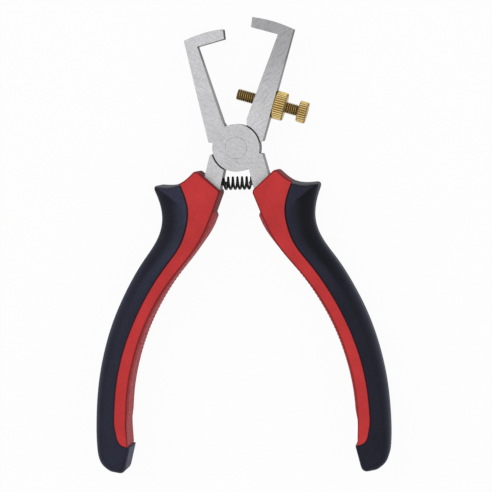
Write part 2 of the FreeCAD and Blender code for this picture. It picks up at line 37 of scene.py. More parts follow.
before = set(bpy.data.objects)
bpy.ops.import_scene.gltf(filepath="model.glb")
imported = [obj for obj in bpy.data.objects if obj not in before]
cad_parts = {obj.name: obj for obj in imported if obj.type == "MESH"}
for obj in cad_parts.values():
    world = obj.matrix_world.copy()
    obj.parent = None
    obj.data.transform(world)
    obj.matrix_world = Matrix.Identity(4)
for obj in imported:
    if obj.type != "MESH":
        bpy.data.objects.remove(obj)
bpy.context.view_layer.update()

MM = 0.001
HALF_OPENING = math.radians(10.0)
MID_PLANE = 4.0

# Grip outline

THROAT = (2.7, -15.2)
CREST = (12.1, -9.3)
SEAM_TOP = (16.7, -14.6)
HORN = (25.9, -16.5)
INNER_EDGE = [(4.35, -23.5), (5.7, -29.0), (7.9, -35.0), (12.25, -43.0), (17.4, -53.0), (21.15, -64.0),
              (23.25, -76.0), (23.6, -88.0), (22.4, -99.0)]
SEAM = [(12.45, -23.5), (12.2, -29.0), (13.3, -35.0), (17.2, -43.0), (21.75, -53.0), (25.25, -64.0),
        (27.45, -76.0), (27.8, -88.0), (26.7, -99.0)]
OUTER_EDGE = [(22.4, -23.5), (21.2, -29.0), (22.1, -35.0), (25.7, -43.0), (29.6, -53.0), (32.6, -64.0),
              (34.25, -76.0), (34.4, -88.0), (33.3, -99.0)]
SEAM_LOW = (24.1, -105.9)
CORE_CORNER = (20.9, -105.9)
LIP = (20.2, -105.9)
END_INNER = (20.7, -115.2)
END_OUTER = (25.7, -115.2)
END_ROUND = (28.9, -113.4)
HEEL = (31.7, -107.5)

CORE_HALF = 7.6
COVER_HALF = 7.75
SEAM_GAP = 0.03

# Distance between the points of an outline, and how finely a curve is sampled and searched
PATH_STEP = 0.3
CORE_STEP = 0.32
COVER_STEP = 0.25
COLUMN_STEP = 0.5
CURVE_SAMPLES = 60
SEARCH_STEPS = 4000
FOLD_SLACK = 0.02

# Lengths cut off before and after each corner of an outline, where a short curve rounds the corner off
SEAM_EASINGS = [(1.5, 1.5), (3.1, 2.6)]
CORE_EASINGS = [(1.5, 1.5), (1.2, 1.2), (1.5, 1.5), (0.35, 0.35),
                (1.5, 1.5), (3.1, 2.6), (0.3, 0.3), (1.5, 1.5)]
OUTER_EASINGS = [(2.5, 2.5), (0.8, 0.8), (2.0, 2.4)]

# Rounding of the core's faces at points of its outline
CORE_ROUNDING = [
    (INNER_EDGE[-1], 0.8),
    (INNER_EDGE[4], 0.9),
    (INNER_EDGE[0], 0.8),
    (THROAT, 0.8),
    (CREST, 0.9),
    ((16.1, -14.0), 0.9),
    ((16.5, -15.3), 0.3),
    (SEAM[3], 0.3),
    (SEAM_LOW, 0.35),
    (CORE_CORNER, 0.4),
]

# Finger side of the core: how far each form stands out, and the heights below the pivot at which it
# starts and ends softly
FINGER_SIDE = (21.0, 101.0)
NEAR_INNER_EDGE = 0.6
PAD_RISE = 0.22
PAD_START = (22.2, 23.4)
PAD_END = (93.0, 99.0)
LOWER_PAD_RISE = 0.3
LOWER_PAD_START = (44.0, 58.0)
BUMP_RISE = 0.8
BUMP_START = (22.2, 23.8)
BUMP_END = (26.0, 36.0)
RIB_RISE = 0.08
RIB_PITCH = 1.25
RIBS_START = (43.0, 45.0)
RIBS_END = (73.0, 75.0)
CREASE_DEPTH = 0.22
CREASE_START = (22.0, 24.0)

# The same wall across the grip, as levels from the middle plane
PAD_BORDER = (5.55, 5.85)
CREASE_NEAR = (5.85, 6.0)
CREASE_FAR = (6.2, 6.4)
WALL_LEVELS = (6.45, 6.35, 6.2, 6.05, 5.9, 5.75, 5.55, 4.6, 3.2, 1.6, 0.0)

# Shallow groove that the cover leaves along the seam
SEAM_GROOVE_DEPTH = 0.3
SEAM_GROOVE_WIDTH = 0.45

# Border of the core's flat face inside its rounding, and the largest share of the cover that is rounded
FACE_BORDER = 0.6
MOST_ROUNDED = 0.88

# Points across the flat of the cover: beside the seam as millimetres and as the largest share of the
# flat, and beyond them as shares
BESIDE_SEAM = [(0.12, 0.1), (0.4, 0.3)]
FLAT_SHARES = (0.5, 0.7, 0.87)

# Rounding of the cover along its outer edge: a point of the edge, the rounding's width and depth,
# and how sharply the rounding starts, as a share of a straight slope
COVER_ROUNDING = [
    (SEAM_TOP, 0.9, 0.9, 0.0),
    ((18.5, -14.7), 1.3, 1.3, 0.3),
    ((22.0, -15.4), 1.4, 1.4, 0.3),
    (HORN, 1.4, 1.6, 0.2),
    ((25.0, -18.2), 2.2, 2.2, 0.1),
    ((24.0, -20.6), 4.4, 3.6, 0.25),
    ((22.4, -23.5), 7.0, 4.6, 0.35),
    ((21.6, -26.5), 8.2, 5.0, 0.35),
    ((21.2, -31.0), 8.1, 5.1, 0.3),
    ((22.1, -35.0), 7.4, 5.1, 0.2),
    ((25.7, -43.0), 6.2, 5.0, 0.1),
    ((29.6, -53.0), 5.6, 5.0, 0.05),
    ((32.6, -64.0), 5.2, 5.0, 0.0),
    ((34.25, -76.0), 4.9, 5.0, 0.0),
    ((34.4, -88.0), 4.6, 4.8, 0.0),
    ((33.3, -99.0), 4.2, 4.5, 0.0),
    (HEEL, 3.6, 3.8, 0.0),
    (END_ROUND, 3.2, 3.2, 0.0),
    (END_OUTER, 2.8, 2.8, 0.0),
    (END_INNER, 2.2, 2.2, 0.0),
    (LIP, 1.2, 1.0, 0.0),
]

# Where a column of the cover starts on the seam and ends on the outer edge
COVER_COLUMNS = [(SEAM_TOP, SEAM_TOP), ((14.4, -19.0), HORN)]
COVER_COLUMNS += list(zip(SEAM, OUTER_EDGE))
COVER_COLUMNS += [
    ((25.9, -101.8), HEEL),
    ((24.7, -103.9), END_ROUND),
    ((23.4, -105.3), END_OUTER),
    ((21.5, -105.9), END_INNER),
    (CORE_CORNER, LIP),
]

# Adjusting screw and lock nut, along the screw's axis from the right arm's outer edge

SCREW_SEAT = Vector((12.819, 14.410, MID_PLANE))
SCREW_OUTWARD = Vector((0.957319, -0.289032, 0.0)).normalized()
SCREW_TIP = 12.8
THREAD_RADIUS = 1.97
THREAD_DEPTH = 0.36
THREAD_PITCH = 0.7
THREAD_FLANK = 0.42
ROWS_PER_PITCH = 12
NECK_RADIUS = 1.62
NECK_LENGTH = 0.4
SHANK_LENGTH = 21.3
HEAD_RADIUS = 3.65
HEAD_LENGTH = 3.1
NUT_RADIUS = 4.8
NUT_LENGTH = 4.0
NUT_SEAT_GAP = 0.03
BORE_RADIUS = 2.02
NUT_FACE_INSET = 0.8
COUNTERSINK = 0.25
RIM_CHAMFER = 0.45
HEAD_TEETH = 27
NUT_TEETH = 36
COLUMNS_PER_TOOTH = 8
KNURL_DEPTH = 0.32
KNURL_STEEPNESS = 1.25
KNURL_ON_CHAMFER = 0.6

# Rim of head and nut: how far its edge lies inside the crests, and the short steps beside its chamfer
RIM_DROP = 0.3
RIM_EDGE = 0.06
RIM_STEP = 0.1
HEAD_RIM_DROP = 0.35
NUT_RIM_DROP = 0.38

# End face of the head: where its dish starts and levels out, and the centre mark
HEAD_FACE_INSET = 0.25
DISH_INSET = 0.35
DISH_DEPTH = 0.05
MARK_RADIUS = 0.6
MARK_BOTTOM = 0.25
MARK_DEPTH = 0.25

# Opening spring

SPRING_HEIGHT = -11.94
COIL_RADIUS = 1.95
WIRE_RADIUS = 0.4
SPRING_HALF = 4.66
SPRING_TURNS = 6.0
SPRING_START = 0.6
END_PITCH = 0.94
PITCH_RISE = 0.06
PITCH_GROWS = (0.02, 0.12)
PITCH_SHRINKS = (0.88, 0.98)
STEPS_PER_TURN = 36
WIRE_SIDES = 14

# Levers: width of the broken edges, the least angle of an edge that is broken, in radians, the distance
# in metres at which points are one, and the degrees up to which faces are one flat or are shaded smoothly

BROKEN_EDGE = 0.13
SHARP_ANGLE = 0.5
SAME_POINT = 2e-6
FLAT_BELOW = 0.4
LEVER_SMOOTH_BELOW = 50.0


# Paths in the plane of the tool

def spans(points):
    """Length along a path at each of its points."""
    steps = np.diff(points, axis=0)
    return np.concatenate([[0.0], np.cumsum(np.hypot(steps[:, 0], steps[:, 1]))])


def at(path, length):
    """Point or points of a path at a length along it."""
    along = spans(path)
    return np.stack([np.interp(length, along, path[:, 0]), np.interp(length, along, path[:, 1])], axis=-1)


def where(path, point):
    """Length along a path at which it comes nearest to a point."""
    fine = np.linspace(0.0, spans(path)[-1], SEARCH_STEPS)
    away = at(path, fine) - np.array(point)
    return float(fine[np.argmin(np.hypot(away[:, 0], away[:, 1]))])


def evenly(path, spacing):
    """The path with points at equal distances, as near as they come to a spacing."""
    length = spans(path)[-1]
    return at(path, np.linspace(0.0, length, max(2, int(round(length / spacing)) + 1)))


def straight(start, end):
    """Straight run between two points."""
    return evenly(np.array([start, end], float), PATH_STEP)


def curve(points):
    """Smooth curve through points, straightening at both ends."""
    knots = np.array(points, float)
    along = spans(knots)
    gaps = np.diff(along)
    count = len(knots)
    system = np.eye(count)
    bends = np.zeros((count, 2))
    for i in range(1, count - 1):
        system[i, i - 1:i + 2] = (gaps[i - 1], 2 * (gaps[i - 1] + gaps[i]), gaps[i])
        bends[i] = 6 * ((knots[i + 1] - knots[i]) / gaps[i] - (knots[i] - knots[i - 1]) / gaps[i - 1])
    bends = np.linalg.solve(system, bends)
    found = []
    for length in np.linspace(0.0, along[-1], CURVE_SAMPLES * (count - 1)):
        i = min(int(np.searchsorted(along, length, side="right")) - 1, count - 2)
        low = (along[i + 1] - length) / gaps[i]
        high = (length - along[i]) / gaps[i]
        point = low * knots[i] + high * knots[i + 1]
        point = point + ((low ** 3 - low) * bends[i] + (high ** 3 - high) * bends[i + 1]) * gaps[i] ** 2 / 6
        found.append(point)
    return evenly(np.array(found), PATH_STEP)


def cut(path, start, end):
    """The path without a length at its start and at its end."""
    length = spans(path)[-1]
    share = min(1.0, 0.97 * length / max(start + end, 1e-9))
    start *= share
    end *= share
    count = max(2, int((length - start - end) / PATH_STEP) + 1)
    return at(path, np.linspace(start, length - end, count))


def eased(before, corner, after):
    """Short curve that rounds a corner off."""
    turn = np.linspace(0.0, 1.0, 9)[1:-1, None]
    return (1 - turn) ** 2 * before + 2 * turn * (1 - turn) * np.array(corner) + turn ** 2 * after


def joined(runs, easings, closed):
    """One path of several runs; easing number k rounds the corner after run k."""
    count = len(runs)
    cut_runs = []
    for k, run in enumerate(runs):
        start = easings[k - 1][1] if k or closed else 0.0
        end = easings[k][0] if k < count - 1 or closed else 0.0
        cut_runs.append(cut(run, start, end))
    points = []
    for k, run in enumerate(cut_runs):
        points.append(run)
        if k < count - 1 or closed:
            following = cut_runs[(k + 1) % count]
            points.append(eased(run[-1], runs[k][-1], following[0]))
    return np.concatenate(points)


def outward_normals(path, closed):
    """Unit normals to the right of a path's direction."""
    if closed:
        steps = np.roll(path, -1, axis=0) - np.roll(path, 1, axis=0)
    else:
        steps = np.gradient(path, axis=0)
    steps = steps / np.maximum(np.hypot(steps[:, 0], steps[:, 1]), 1e-9)[:, None]
    return np.stack([steps[:, 1], -steps[:, 0]], axis=-1)


def ramp(value, low, high):
    """From 0 at low to 1 at high, with soft ends."""
    share = np.clip((value - low) / (high - low), 0.0, 1.0)
    return share * share * (3 - 2 * share)


# Meshes

def piece(name, points, faces, finish, body, node, smooth_below=35.0):
    """Mesh object from points in millimetres, riding on a body and standing for a CAD node."""
    mesh = bpy.data.meshes.new(name)
    mesh.from_pydata([tuple(coordinate * MM for coordinate in point) for point in points], [], faces)
    made = bpy.data.objects.new(name, mesh)
    bpy.context.scene.collection.objects.link(made)
    tidy_mesh(mesh, smooth_below)
    mesh.materials.append(finish)
    if body:
        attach(made, body)
    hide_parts(node)
    return made


def tidy_mesh(mesh, smooth_below):
    """Joins points that coincide, turns all faces outward and keeps only sharp edges sharp."""
    work = bmesh.new()
    work.from_mesh(mesh)
    bmesh.ops.remove_doubles(work, verts=work.verts, dist=1e-7)
    bmesh.ops.recalc_face_normals(work, faces=work.faces)
    for face in work.faces:
        face.smooth = True
    work.to_mesh(mesh)
    work.free()
    mesh.set_sharp_from_angle(angle=math.radians(smooth_below))


def rings_to_faces(count, around, closed):
    """Quads between rings of points that follow each other."""
    faces = []
    for ring in range(count if closed else count - 1):
        start = ring * around
        after = (ring + 1) % count * around
        for k in range(around):
            following = (k + 1) % around
            faces.append((start + k, start + following, after + following, after + k))
    return faces


def opened(side, reach, height, level):
    """Point of a grip in the tool's frame, turned with its lever to the rest position."""
    angle = side * HALF_OPENING
    across = side * reach
    x = across * math.cos(angle) - height * math.sin(angle)
    y = across * math.sin(angle) + height * math.cos(angle)
    return (x, y, MID_PLANE + level)


# Grips

def seam_path():
    """Seam from the top edge to the core's lower corner, with the corner well rounded."""
    runs = [curve([SEAM_TOP] + SEAM), straight(SEAM[-1], SEAM_LOW), straight(SEAM_LOW, CORE_CORNER)]
    return joined(runs, SEAM_EASINGS, False)


def top_curve():
    """Top edge of a grip, which core and cover share."""
    return curve([CREST, SEAM_TOP, HORN])


def part_of(path, start, end):
    """Run of a path between two lengths along it."""
    return at(path, np.linspace(start, end, max(2, int((end - start) / PATH_STEP) + 1)))


def core_loop():
    """Closed outline of the core, from its lower inner corner up and round."""
    top = top_curve()
    runs = [
        curve(INNER_EDGE[::-1]),
        straight(INNER_EDGE[0], THROAT),
        straight(THROAT, CREST),
        part_of(top, 0.0, where(top, SEAM_TOP)),
        curve([SEAM_TOP] + SEAM),
        straight(SEAM[-1], SEAM_LOW),
        straight(SEAM_LOW, CORE_CORNER),
        straight(CORE_CORNER, INNER_EDGE[-1]),
    ]
    loop = joined(runs, CORE_EASINGS, True)
    return evenly(np.concatenate([loop, loop[:1]]), CORE_STEP)[:-1]


def core_roundings(loop):
    """Rounding of the core's faces at each point of its outline."""
    closed = np.concatenate([loop, loop[:1]])
    length = spans(closed)[-1]
    places = [(where(closed, corner) % length, width) for corner, width in CORE_ROUNDING]
    places.sort()
    before = (places[-1][0] - length, places[-1][1])
    after = (places[0][0] + length, places[0][1])
    along, widths = zip(*([before] + places + [after]))
    return np.interp(spans(closed)[:-1], along, widths)


def unfolded(loop, moved, inset):
    """Inset points that fold over each other at a corner are gathered where the folding starts."""
    away = np.hypot(moved[:, None, 0] - loop[None, :, 0], moved[:, None, 1] - loop[None, :, 1])
    kept = (away - inset[None, :]).min(axis=1) > -FOLD_SLACK
    if kept.all() or not kept.any():
        return moved
    numbers = np.flatnonzero(kept)
    count = len(loop)
    gaps = np.abs(np.arange(count)[:, None] - numbers[None, :])
    gaps = np.minimum(gaps, count - gaps)
    return moved[numbers[np.argmin(gaps, axis=1)]]


def finger_side(loop, level):
    """How far the core's inner wall stands out: a pad with a bump and ribs, and a crease beside it."""
    height = -loop[:, 1]
    reach_limit = np.interp(height, [-y for x, y in INNER_EDGE], [x for x, y in INNER_EDGE])
    inner = np.abs(loop[:, 0] - reach_limit) < NEAR_INNER_EDGE
    inner &= (height > FINGER_SIDE[0]) & (height < FINGER_SIDE[1])
    bump = BUMP_RISE * ramp(height, *BUMP_START) * (1 - ramp(height, *BUMP_END))
    pad = PAD_RISE * ramp(height, *PAD_START) + LOWER_PAD_RISE * ramp(height, *LOWER_PAD_START) + bump
    pad = pad * (1 - ramp(height, *PAD_END))
    ribs = RIB_RISE * np.sin(height * 2 * math.pi / RIB_PITCH)
    ribs = ribs * ramp(height, *RIBS_START) * (1 - ramp(height, *RIBS_END))
    across = 1 - ramp(abs(level), *PAD_BORDER)
    crease = -CREASE_DEPTH * (ramp(abs(level), *CREASE_NEAR) - ramp(abs(level), *CREASE_FAR))
    crease = crease * ramp(height, *CREASE_START)
    return np.where(inner, (pad + ribs) * across + crease, 0.0)


def grip_core(name, side, finish, body):
    """Hard red core: flat faces inside a rounded edge, and a wall with the finger pad on its inner side."""
    loop = core_loop()
    roundings = core_roundings(loop)
    outward = outward_normals(loop, True)
    area = np.sum(loop[:, 0] * np.roll(loop[:, 1], -1) - np.roll(loop[:, 0], -1) * loop[:, 1])
    if area < 0:
        outward = -outward
    rows = [(-roundings - FACE_BORDER, np.full(len(loop), CORE_HALF))]
    for degrees in range(90, -1, -18):
        turn = math.radians(degrees)
        rows.append((-roundings * (1 - math.cos(turn)), CORE_HALF - roundings * (1 - math.sin(turn))))
    for level in WALL_LEVELS:
        rows.append((finger_side(loop, level), np.full(len(loop), level)))
    mirrored = [(shift, -level) for shift, level in rows[:-1]]
    rows += mirrored[::-1]
    points = []
    for shift, level in rows:
        moved = unfolded(loop, loop + outward * shift[:, None], -shift)
        points += [opened(side, moved[k, 0], moved[k, 1], level[k]) for k in range(len(loop))]
    around = len(loop)
    faces = rings_to_faces(len(rows), around, False)
    faces.append(tuple(range(around)))
    faces.append(tuple(range((len(rows) - 1) * around, len(rows) * around)))
    return piece(name + "_red", points, faces, finish, body, name)


def outer_path():
    """Cover's outer edge from the seam's top round the horn and the grip's end to the lip."""
    top = top_curve()
    runs = [
        part_of(top, where(top, SEAM_TOP), spans(top)[-1]),
        curve([HORN] + OUTER_EDGE + [HEEL, END_ROUND, END_OUTER]),
        straight(END_OUTER, END_INNER),
        straight(END_INNER, LIP),
    ]
    return evenly(joined(runs, OUTER_EASINGS, False), COVER_STEP)


def grip_cover(name, side, finish, body):
    """Soft dark cover: columns from the seam to the outer edge, where both faces are rounded off."""
    seam = seam_path()
    seam = seam - outward_normals(seam, False) * SEAM_GAP
    outer = outer_path()
    seam_marks = [where(seam, start) for start, end in COVER_COLUMNS]
    outer_marks = [where(outer, end) for start, end in COVER_COLUMNS]
    seam_marks[0] = 0.0
    outer_marks[0] = 0.0
    seam_marks[-1] = spans(seam)[-1]
    outer_marks[-1] = spans(outer)[-1]
    marks = [where(outer, row[0]) for row in COVER_ROUNDING]
    marks[0] = 0.0
    marks[-1] = spans(outer)[-1]
    widths = [row[1] for row in COVER_ROUNDING]
    starts = []
    ends = []
    for k in range(len(COVER_COLUMNS) - 1):
        run = max(seam_marks[k + 1] - seam_marks[k], outer_marks[k + 1] - outer_marks[k])
        share = np.linspace(0.0, 1.0, max(2, int(run / COLUMN_STEP)) + 1)[:-1]
        starts.append(seam_marks[k] + share * (seam_marks[k + 1] - seam_marks[k]))
        ends.append(outer_marks[k] + share * (outer_marks[k + 1] - outer_marks[k]))
    starts = np.append(np.concatenate(starts), seam_marks[-1])
    ends = np.append(np.concatenate(ends), outer_marks[-1])
    inside = at(seam, starts)
    outside = at(outer, ends)
    lengths = np.maximum(np.hypot(*(outside - inside).T), 1e-3)
    rounded = np.clip(np.interp(ends, marks, widths) / lengths, 0.0, MOST_ROUNDED)
    shares = []
    for k in range(len(ends)):
        flat = 1 - rounded[k]
        column = [0.0] + [min(reach / lengths[k], most * flat) for reach, most in BESIDE_SEAM]
        column += [flat * share for share in FLAT_SHARES]
        column += [1 - rounded[k] * (1 - math.cos(math.radians(turn))) for turn in range(90, -1, -9)]
        shares.append(column)
    shares = np.array(shares)
    grid = inside[:, None, :] * (1 - shares[:, :, None]) + outside[:, None, :] * shares[:, :, None]
    count, across = shares.shape
    levels = cover_levels(grid.reshape(-1, 2), outer, seam, marks).reshape(count, across)
    levels = soften(soften(levels))
    points = []
    for k in range(count):
        front = [(grid[k, i, 0], grid[k, i, 1], levels[k, i]) for i in range(across)]
        edge = levels[k, -1]
        wall = [(grid[k, -1, 0], grid[k, -1, 1], edge * share) for share in (0.5, 0.0, -0.5)]
        back = [(x, y, -z) for x, y, z in front[::-1]]
        inner_wall = [(grid[k, 0, 0], grid[k, 0, 1], levels[k, 0] * share) for share in (-0.5, 0.5)]
        points += [opened(side, x, y, z) for x, y, z in front + wall + back + inner_wall]
    around = 2 * across + 5
    faces = rings_to_faces(count, around, False)
    faces.append(tuple(range(around - 1, -1, -1)))
    faces.append(tuple(range((count - 1) * around, count * around)))
    return piece(name + "_dark", points, faces, finish, body, name)


def cover_levels(points, outer, seam, marks):
    """Level of the cover's front face at each point, by its distances to the outer edge and the seam."""
    to_outer, nearest = distances(points, outer)
    along = spans(outer)[nearest]
    width = np.interp(along, marks, [row[1] for row in COVER_ROUNDING])
    depth = np.interp(along, marks, [row[2] for row in COVER_ROUNDING])
    slope = np.interp(along, marks, [row[3] for row in COVER_ROUNDING])
    share = np.clip(1 - to_outer / width, 0.0, 1.0)
    drop = depth * (slope * share + (1 - slope) * (1 - np.sqrt(1 - share ** 2)))
    to_seam = distances(points, seam)[0]
    return COVER_HALF - drop - SEAM_GROOVE_DEPTH * (1 - ramp(to_seam, 0.0, SEAM_GROOVE_WIDTH))


def distances(points, path):
    """Distance of each point from a path and the number of the path's nearest point."""
    best = np.full(len(points), 1e9)
    nearest = np.zeros(len(points), int)
    for k in range(len(path) - 1):
        run = path[k + 1] - path[k]
        share = np.clip(((points - path[k]) @ run) / max(float(run @ run), 1e-12), 0.0, 1.0)
        away = points - path[k] - share[:, None] * run
        distance = np.hypot(away[:, 0], away[:, 1])
        closer = distance < best
        best[closer] = distance[closer]
        nearest[closer] = k
    return best, nearest


def soften(levels):
    """Evens out the levels along the grip, with the ends kept."""
    smooth = levels.copy()
    smooth[1:-1] = (levels[:-2] + 2 * levels[1:-1] + levels[2:]) / 4
    return smooth


# Steel levers

def lever(name, finish, body):
    """Lever from its CAD solid, with every sharp edge broken."""
    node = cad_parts[name]
    mesh = node.data.copy()
    mesh.name = name + "_broken_edges"
    made = bpy.data.objects.new(name + "_steel", mesh)
    bpy.context.scene.collection.objects.link(made)
    work = bmesh.new()
    work.from_mesh(mesh)
    bmesh.ops.remove_doubles(work, verts=work.verts, dist=SAME_POINT)
    flat = math.radians(FLAT_BELOW)
    bmesh.ops.dissolve_limit(work, angle_limit=flat, verts=work.verts, edges=work.edges)
    inner_edges = [edge for edge in work.edges if len(edge.link_faces) == 2]
    sharp = [edge for edge in inner_edges if edge.calc_face_angle() > SHARP_ANGLE]
    bmesh.ops.bevel(work, geom=sharp, offset=BROKEN_EDGE * MM, offset_type="OFFSET", segments=2,
                    profile=0.5, affect="EDGES", clamp_overlap=True)
    for face in work.faces:
        face.smooth = True
    work.to_mesh(mesh)
    work.free()
    if "custom_normal" in mesh.attributes:
        mesh.attributes.remove(mesh.attributes["custom_normal"])
    mesh.set_sharp_from_angle(angle=math.radians(LEVER_SMOOTH_BELOW))
    mesh.materials.clear()
    mesh.materials.append(finish)
    evened = made.modifiers.new("flat faces stay flat", "WEIGHTED_NORMAL")
    evened.mode = "FACE_AREA"
    evened.weight = 100
    evened.keep_sharp = True
    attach(made, body)
    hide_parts(name)
    return made


# Spring

def opening_spring(finish):
    """Coil across the tool between the two tangs, with its end turns a little closer together."""
    steps = int(SPRING_TURNS * STEPS_PER_TURN)
    share = np.linspace(0.0, 1.0, steps + 1)
    pitch = END_PITCH + PITCH_RISE * ramp(share, *PITCH_GROWS) * (1 - ramp(share, *PITCH_SHRINKS))
    along = np.concatenate([[0.0], np.cumsum((pitch[1:] + pitch[:-1]) / 2)])
    along = -SPRING_HALF + 2 * SPRING_HALF * along / along[-1]
    turn = share * SPRING_TURNS * 2 * math.pi + SPRING_START
    across = SPRING_HEIGHT + COIL_RADIUS * np.cos(turn)
    level = MID_PLANE + COIL_RADIUS * np.sin(turn)
    centre = np.stack([along, across, level], 1)
    points = []
    for k in range(len(centre)):
        tangent = Vector(centre[min(k + 1, steps)] - centre[max(k - 1, 0)]).normalized()
        radial = Vector((0.0, math.cos(turn[k]), math.sin(turn[k])))
        side = tangent.cross(radial).normalized()
        radial = side.cross(tangent)
        for i in range(WIRE_SIDES):
            angle = 2 * math.pi * i / WIRE_SIDES
            point = Vector(centre[k]) + (radial * math.cos(angle) + side * math.sin(angle)) * WIRE_RADIUS
            points.append(tuple(point))
    faces = rings_to_faces(len(centre), WIRE_SIDES, False)
    faces.append(tuple(range(WIRE_SIDES)))
    faces.append(tuple(range(steps * WIRE_SIDES, (steps + 1) * WIRE_SIDES)))
    made = piece("opening_coil", points, faces, finish, None, "opening_spring")
    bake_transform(made)
    return made


# Adjusting screw and lock nut

def along_screw(distance, radius, angle):
    """Point round the screw's axis at a distance outward from the arm."""
    upward = Vector((0.0, 0.0, 1.0))
    sideways = upward.cross(SCREW_OUTWARD)
    ring = sideways * math.cos(angle) + upward * math.sin(angle)
    return tuple(SCREW_SEAT + SCREW_OUTWARD * distance + ring * radius)


def thread(height, angle):
    """Radius of the thread at a height above the tip; the groove winds round the shank."""
    phase = (height / THREAD_PITCH - angle / (2 * math.pi)) % 1.0
    groove = max(0.0, 1 - abs(phase - 0.5) / THREAD_FLANK)
    radius = THREAD_RADIUS - THREAD_DEPTH * groove
    entry = THREAD_RADIUS - THREAD_DEPTH + height
    run_out = NECK_RADIUS + max(0.0, SHANK_LENGTH - NECK_LENGTH - height) * 2
    return min(radius, entry, max(run_out, NECK_RADIUS))


def knurled(radius, crest, angle, teeth):
    """Radius on straight knurling, which is shallower on the chamfers than on the rim."""
    phase = (angle * teeth / (2 * math.pi)) % 1.0
    depth = KNURL_DEPTH * min(1.0, abs(phase - 0.5) * 2 * KNURL_STEEPNESS)
    return radius - depth * (1 if radius > crest - RIM_DROP else KNURL_ON_CHAMFER)


def rim_rows(start, end, crest, drop):
    """Heights and radii along a knurled rim and its two chamfers."""
    insets = [(0.0, drop), (RIM_EDGE, RIM_DROP), (RIM_CHAMFER, 0.0), (RIM_CHAMFER + RIM_STEP, 0.0)]
    rows = [(start + height, crest - inset) for height, inset in insets]
    return rows + [(end - height, crest - inset) for height, inset in insets[::-1]]


def adjusting_screw(finish):
    """Screw with a cut thread, a plain neck and a knurled head."""
    columns = HEAD_TEETH * COLUMNS_PER_TOOTH
    rows = []
    thread_end = SHANK_LENGTH - NECK_LENGTH
    count = int(thread_end / THREAD_PITCH * ROWS_PER_PITCH)
    for k in range(count + 1):
        height = thread_end * k / count
        rows.append((height, "thread", 0.0))
    top = SHANK_LENGTH + HEAD_LENGTH
    face = HEAD_RADIUS - RIM_CHAMFER
    rows += [
        (thread_end + 0.1, "plain", NECK_RADIUS),
        (SHANK_LENGTH - 0.02, "plain", NECK_RADIUS),
        (SHANK_LENGTH, "plain", NECK_RADIUS + 0.05),
        (SHANK_LENGTH, "plain", face - HEAD_FACE_INSET),
    ]
    for height, radius in rim_rows(SHANK_LENGTH, top, HEAD_RADIUS, HEAD_RIM_DROP):
        rows.append((height, "knurl", radius))
    rows += [
        (top, "plain", face - HEAD_FACE_INSET),
        (top - DISH_DEPTH, "plain", face - DISH_INSET),
        (top - DISH_DEPTH, "plain", MARK_RADIUS),
        (top - MARK_DEPTH, "plain", MARK_BOTTOM),
    ]
    points = []
    for height, kind, radius in rows:
        for k in range(columns):
            angle = 2 * math.pi * k / columns
            if kind == "thread":
                reach = thread(height, angle)
            elif kind == "knurl":
                reach = knurled(radius, HEAD_RADIUS, angle, HEAD_TEETH)
            else:
                reach = radius
            points.append(along_screw(height - SCREW_TIP, reach, angle))
    faces = rings_to_faces(len(rows), columns, False)
    faces.append(tuple(range(columns)))
    faces.append(tuple(range((len(rows) - 1) * columns, len(rows) * columns)))
    return piece("adjusting_screw_brass", points, faces, finish, "stop_screw", "adjusting_screw",
                 smooth_below=30.0)


def lock_nut(finish):
    """Knurled nut with chamfered rims and a countersunk bore."""
    columns = NUT_TEETH * COLUMNS_PER_TOOTH
    rows = [
        (COUNTERSINK, "plain", BORE_RADIUS),
        (0.0, "plain", BORE_RADIUS + COUNTERSINK),
        (0.0, "plain", NUT_RADIUS - NUT_FACE_INSET),
    ]
    for height, radius in rim_rows(0.0, NUT_LENGTH, NUT_RADIUS, NUT_RIM_DROP):
        rows.append((height, "knurl", radius))
    rows += [
        (NUT_LENGTH, "plain", NUT_RADIUS - NUT_FACE_INSET),
        (NUT_LENGTH, "plain", BORE_RADIUS + COUNTERSINK),
        (NUT_LENGTH - COUNTERSINK, "plain", BORE_RADIUS),
    ]
    points = []
    for height, kind, radius in rows:
        for k in range(columns):
            angle = 2 * math.pi * k / columns
            reach = radius
            if kind == "knurl":
                reach = knurled(radius, NUT_RADIUS, angle, NUT_TEETH)
            points.append(along_screw(NUT_SEAT_GAP + height, reach, angle))
    faces = rings_to_faces(len(rows), columns, True)
    return piece("lock_nut_brass", points, faces, finish, "nut", "lock_nut", smooth_below=30.0)


# Finishes

class Reading:
    """A value that varies over a surface; sums and products of readings add their own nodes."""

    def __init__(self, finish, socket):
        self.finish = finish
        self.socket = socket

    def __add__(self, other):
        return self.finish.maths("ADD", self, other)

    def __sub__(self, other):
        return self.finish.maths("SUBTRACT", self, other)

    def __rsub__(self, other):
        return self.finish.maths("SUBTRACT", other, self)

    def __mul__(self, other):
        return self.finish.maths("MULTIPLY", self, other)

    def __abs__(self):
        return self.finish.maths("ABSOLUTE", self, 0.0)


